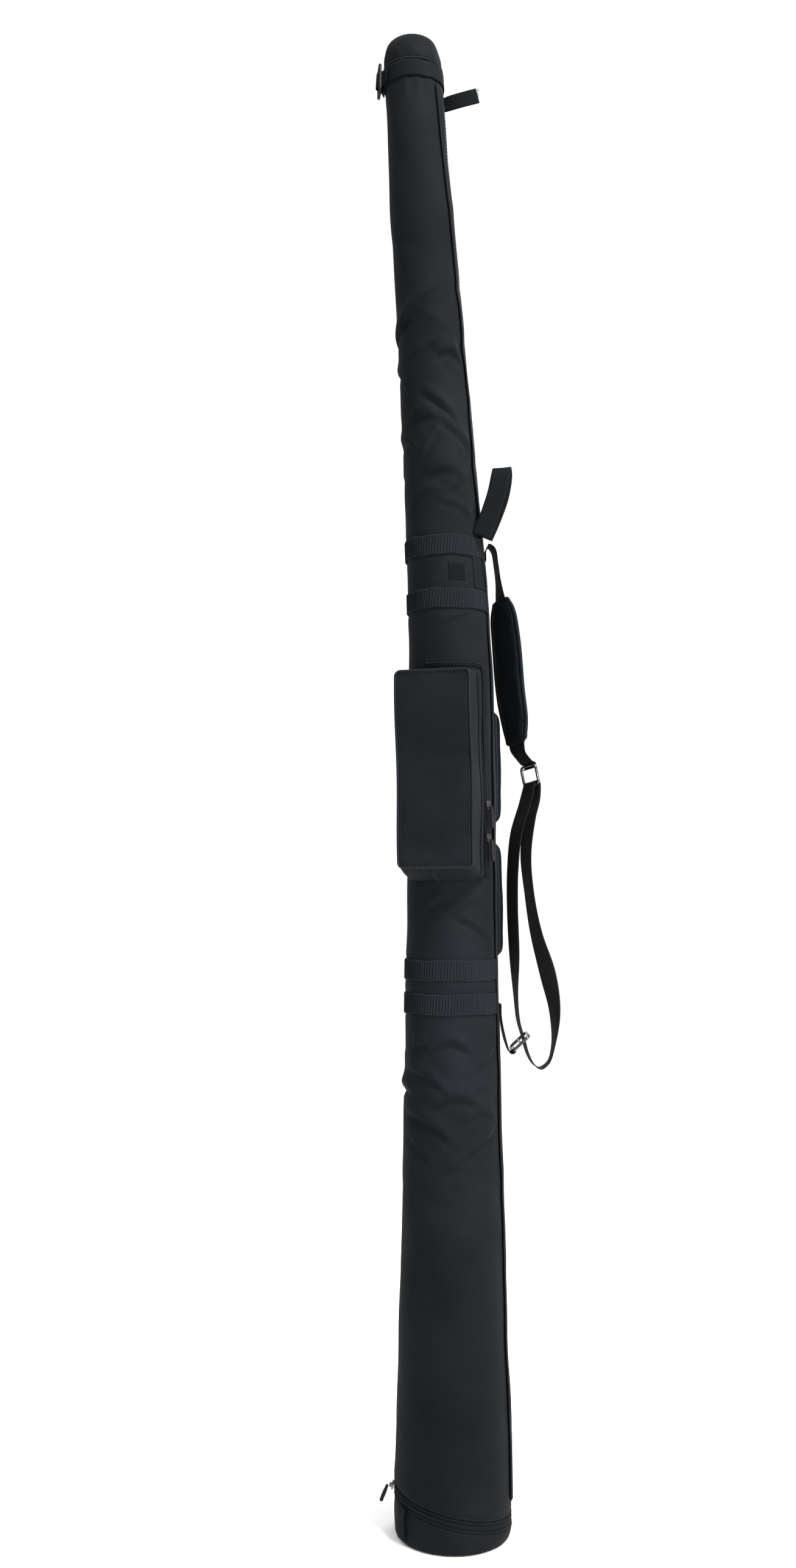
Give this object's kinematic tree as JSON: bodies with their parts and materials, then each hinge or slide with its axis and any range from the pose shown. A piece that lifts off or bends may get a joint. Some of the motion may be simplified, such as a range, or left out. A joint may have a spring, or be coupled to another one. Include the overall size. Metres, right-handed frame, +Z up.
{
  "type": "bagged didgeridoo",
  "caption": "Didgeridoo in a tall tapered padded fabric bag that stands on its round base, with accessory pocket, zips, ribbed bands and hanging shoulder strap.",
  "frame": {"origin": "centre of the flat underside of the round base", "axes": "+Z up along the bag; -Y towards the accessory pocket; +X towards the shoulder strap"},
  "size_m": [0.2244, 0.1657, 1.85],
  "materials": {
    "sleeve_fabric": "coarse woven nylon, very dark blue-black",
    "webbing": "woven polypropylene webbing, near black",
    "ribbed_elastic": "ribbed woven tape, near black",
    "mesh_pad": "spacer mesh, near black",
    "zip_tape": "zip tape with coil",
    "label": "woven label, dark grey",
    "foam": "closed-cell foam",
    "moulded_plastic": "moulded acetal, glossy black",
    "zip_metal": "plated die-cast zip slider",
    "puller_rubber": "moulded soft plastic, dark grey",
    "tube_wood": "hollowed hardwood, oiled",
    "wax": "beeswax"
  },
  "bodies": {
    "bag": {"outer_sleeve": "sleeve_fabric", "foam_liner": "foam", "top_cap": "sleeve_fabric", "base_zip_tape": "zip_tape", "lid_hinge_fabric": "sleeve_fabric", "side_zip_tape": "zip_tape", "side_zip_flap": "sleeve_fabric", "neck_band": "webbing", "neck_buckle": "moulded_plastic", "neck_buckle_webbing": "webbing", "neck_strap_tail": "webbing", "ribbed_band_1": "ribbed_elastic", "ribbed_band_2": "ribbed_elastic", "ribbed_band_3": "ribbed_elastic", "ribbed_band_4": "ribbed_elastic", "anchor_strip": "webbing", "label_patch": "label", "pocket_back": "sleeve_fabric", "pocket_zip_tape": "zip_tape", "back_pad_upper": "mesh_pad", "back_pad_lower": "mesh_pad", "strap_upper_webbing": "webbing", "shoulder_pad": "mesh_pad", "strap_ring": "moulded_plastic", "strap_tongue": "webbing", "strap_webbing": "webbing", "strap_slider": "moulded_plastic", "strap_anchor": "webbing", "didgeridoo_tube": "tube_wood", "wax_mouthpiece": "wax"},
    "base_lid": {"bottom_lid": "sleeve_fabric", "lid_foam_pad": "foam", "lid_tab": "webbing"},
    "base_zip_slider_body": {"base_zip_slider": "zip_metal"},
    "base_zip_puller_body": {"base_zip_puller": "puller_rubber"},
    "pocket_lid_body": {"pocket_lid": "sleeve_fabric"},
    "pocket_slider_upper_body": {"pocket_slider_upper": "zip_metal"},
    "pocket_puller_upper_body": {"pocket_puller_upper": "puller_rubber"},
    "pocket_slider_lower_body": {"pocket_slider_lower": "zip_metal"},
    "pocket_puller_lower_body": {"pocket_puller_lower": "puller_rubber"},
    "hang_loop_body": {"hang_loop": "webbing"}
  },
  "joints": [
    {"name": "base_lid_hinge", "type": "hinge", "parent": "bag", "child": "base_lid", "pos_m": [-0.03475, 0.06019, 0.04365], "axis": [0.8507, 0.4912, -0.1871], "range_deg": [0, 95]},
    {"name": "base_zip_travel", "type": "hinge", "parent": "bag", "child": "base_zip_slider_body", "pos_m": [0, 0, 0.036], "axis": [0.2149, 0, 0.9766], "range_deg": [0, 246]},
    {"name": "base_zip_puller_swing", "type": "hinge", "parent": "base_zip_slider_body", "child": "base_zip_puller_body", "pos_m": [-0.07712, 0.00406, 0.05297], "axis": [0.0523, 0.9986, 0], "range_deg": [0, 120]},
    {"name": "pocket_lid_hinge", "type": "hinge", "parent": "bag", "child": "pocket_lid_body", "pos_m": [-0.05316, -0.01681, 0.895], "axis": [0, 0, -1], "range_deg": [0, 100]},
    {"name": "pocket_zip_travel_upper", "type": "slide", "parent": "bag", "child": "pocket_slider_upper_body", "axis": [-0.0082, 0.0068, 0.9999], "range_m": [0, 0.145]},
    {"name": "pocket_puller_upper_swing", "type": "hinge", "parent": "pocket_slider_upper_body", "child": "pocket_puller_upper_body", "pos_m": [0.04721, -0.03892, 0.857], "axis": [-0.6361, -0.7716, 0], "range_deg": [0, 140]},
    {"name": "pocket_zip_travel_lower", "type": "slide", "parent": "bag", "child": "pocket_slider_lower_body", "axis": [-0.0082, 0.0068, 0.9999], "range_m": [-0.035, 0]},
    {"name": "pocket_puller_lower_swing", "type": "hinge", "parent": "pocket_slider_lower_body", "child": "pocket_puller_lower_body", "pos_m": [0.04754, -0.03919, 0.817], "axis": [-0.6361, -0.7716, 0], "range_deg": [0, 140]},
    {"name": "hang_loop_fold", "type": "hinge", "parent": "bag", "child": "hang_loop_body", "pos_m": [0.034, -0.03, 1.189], "axis": [0, 1, 0], "range_deg": [0, 60]}
  ]
}
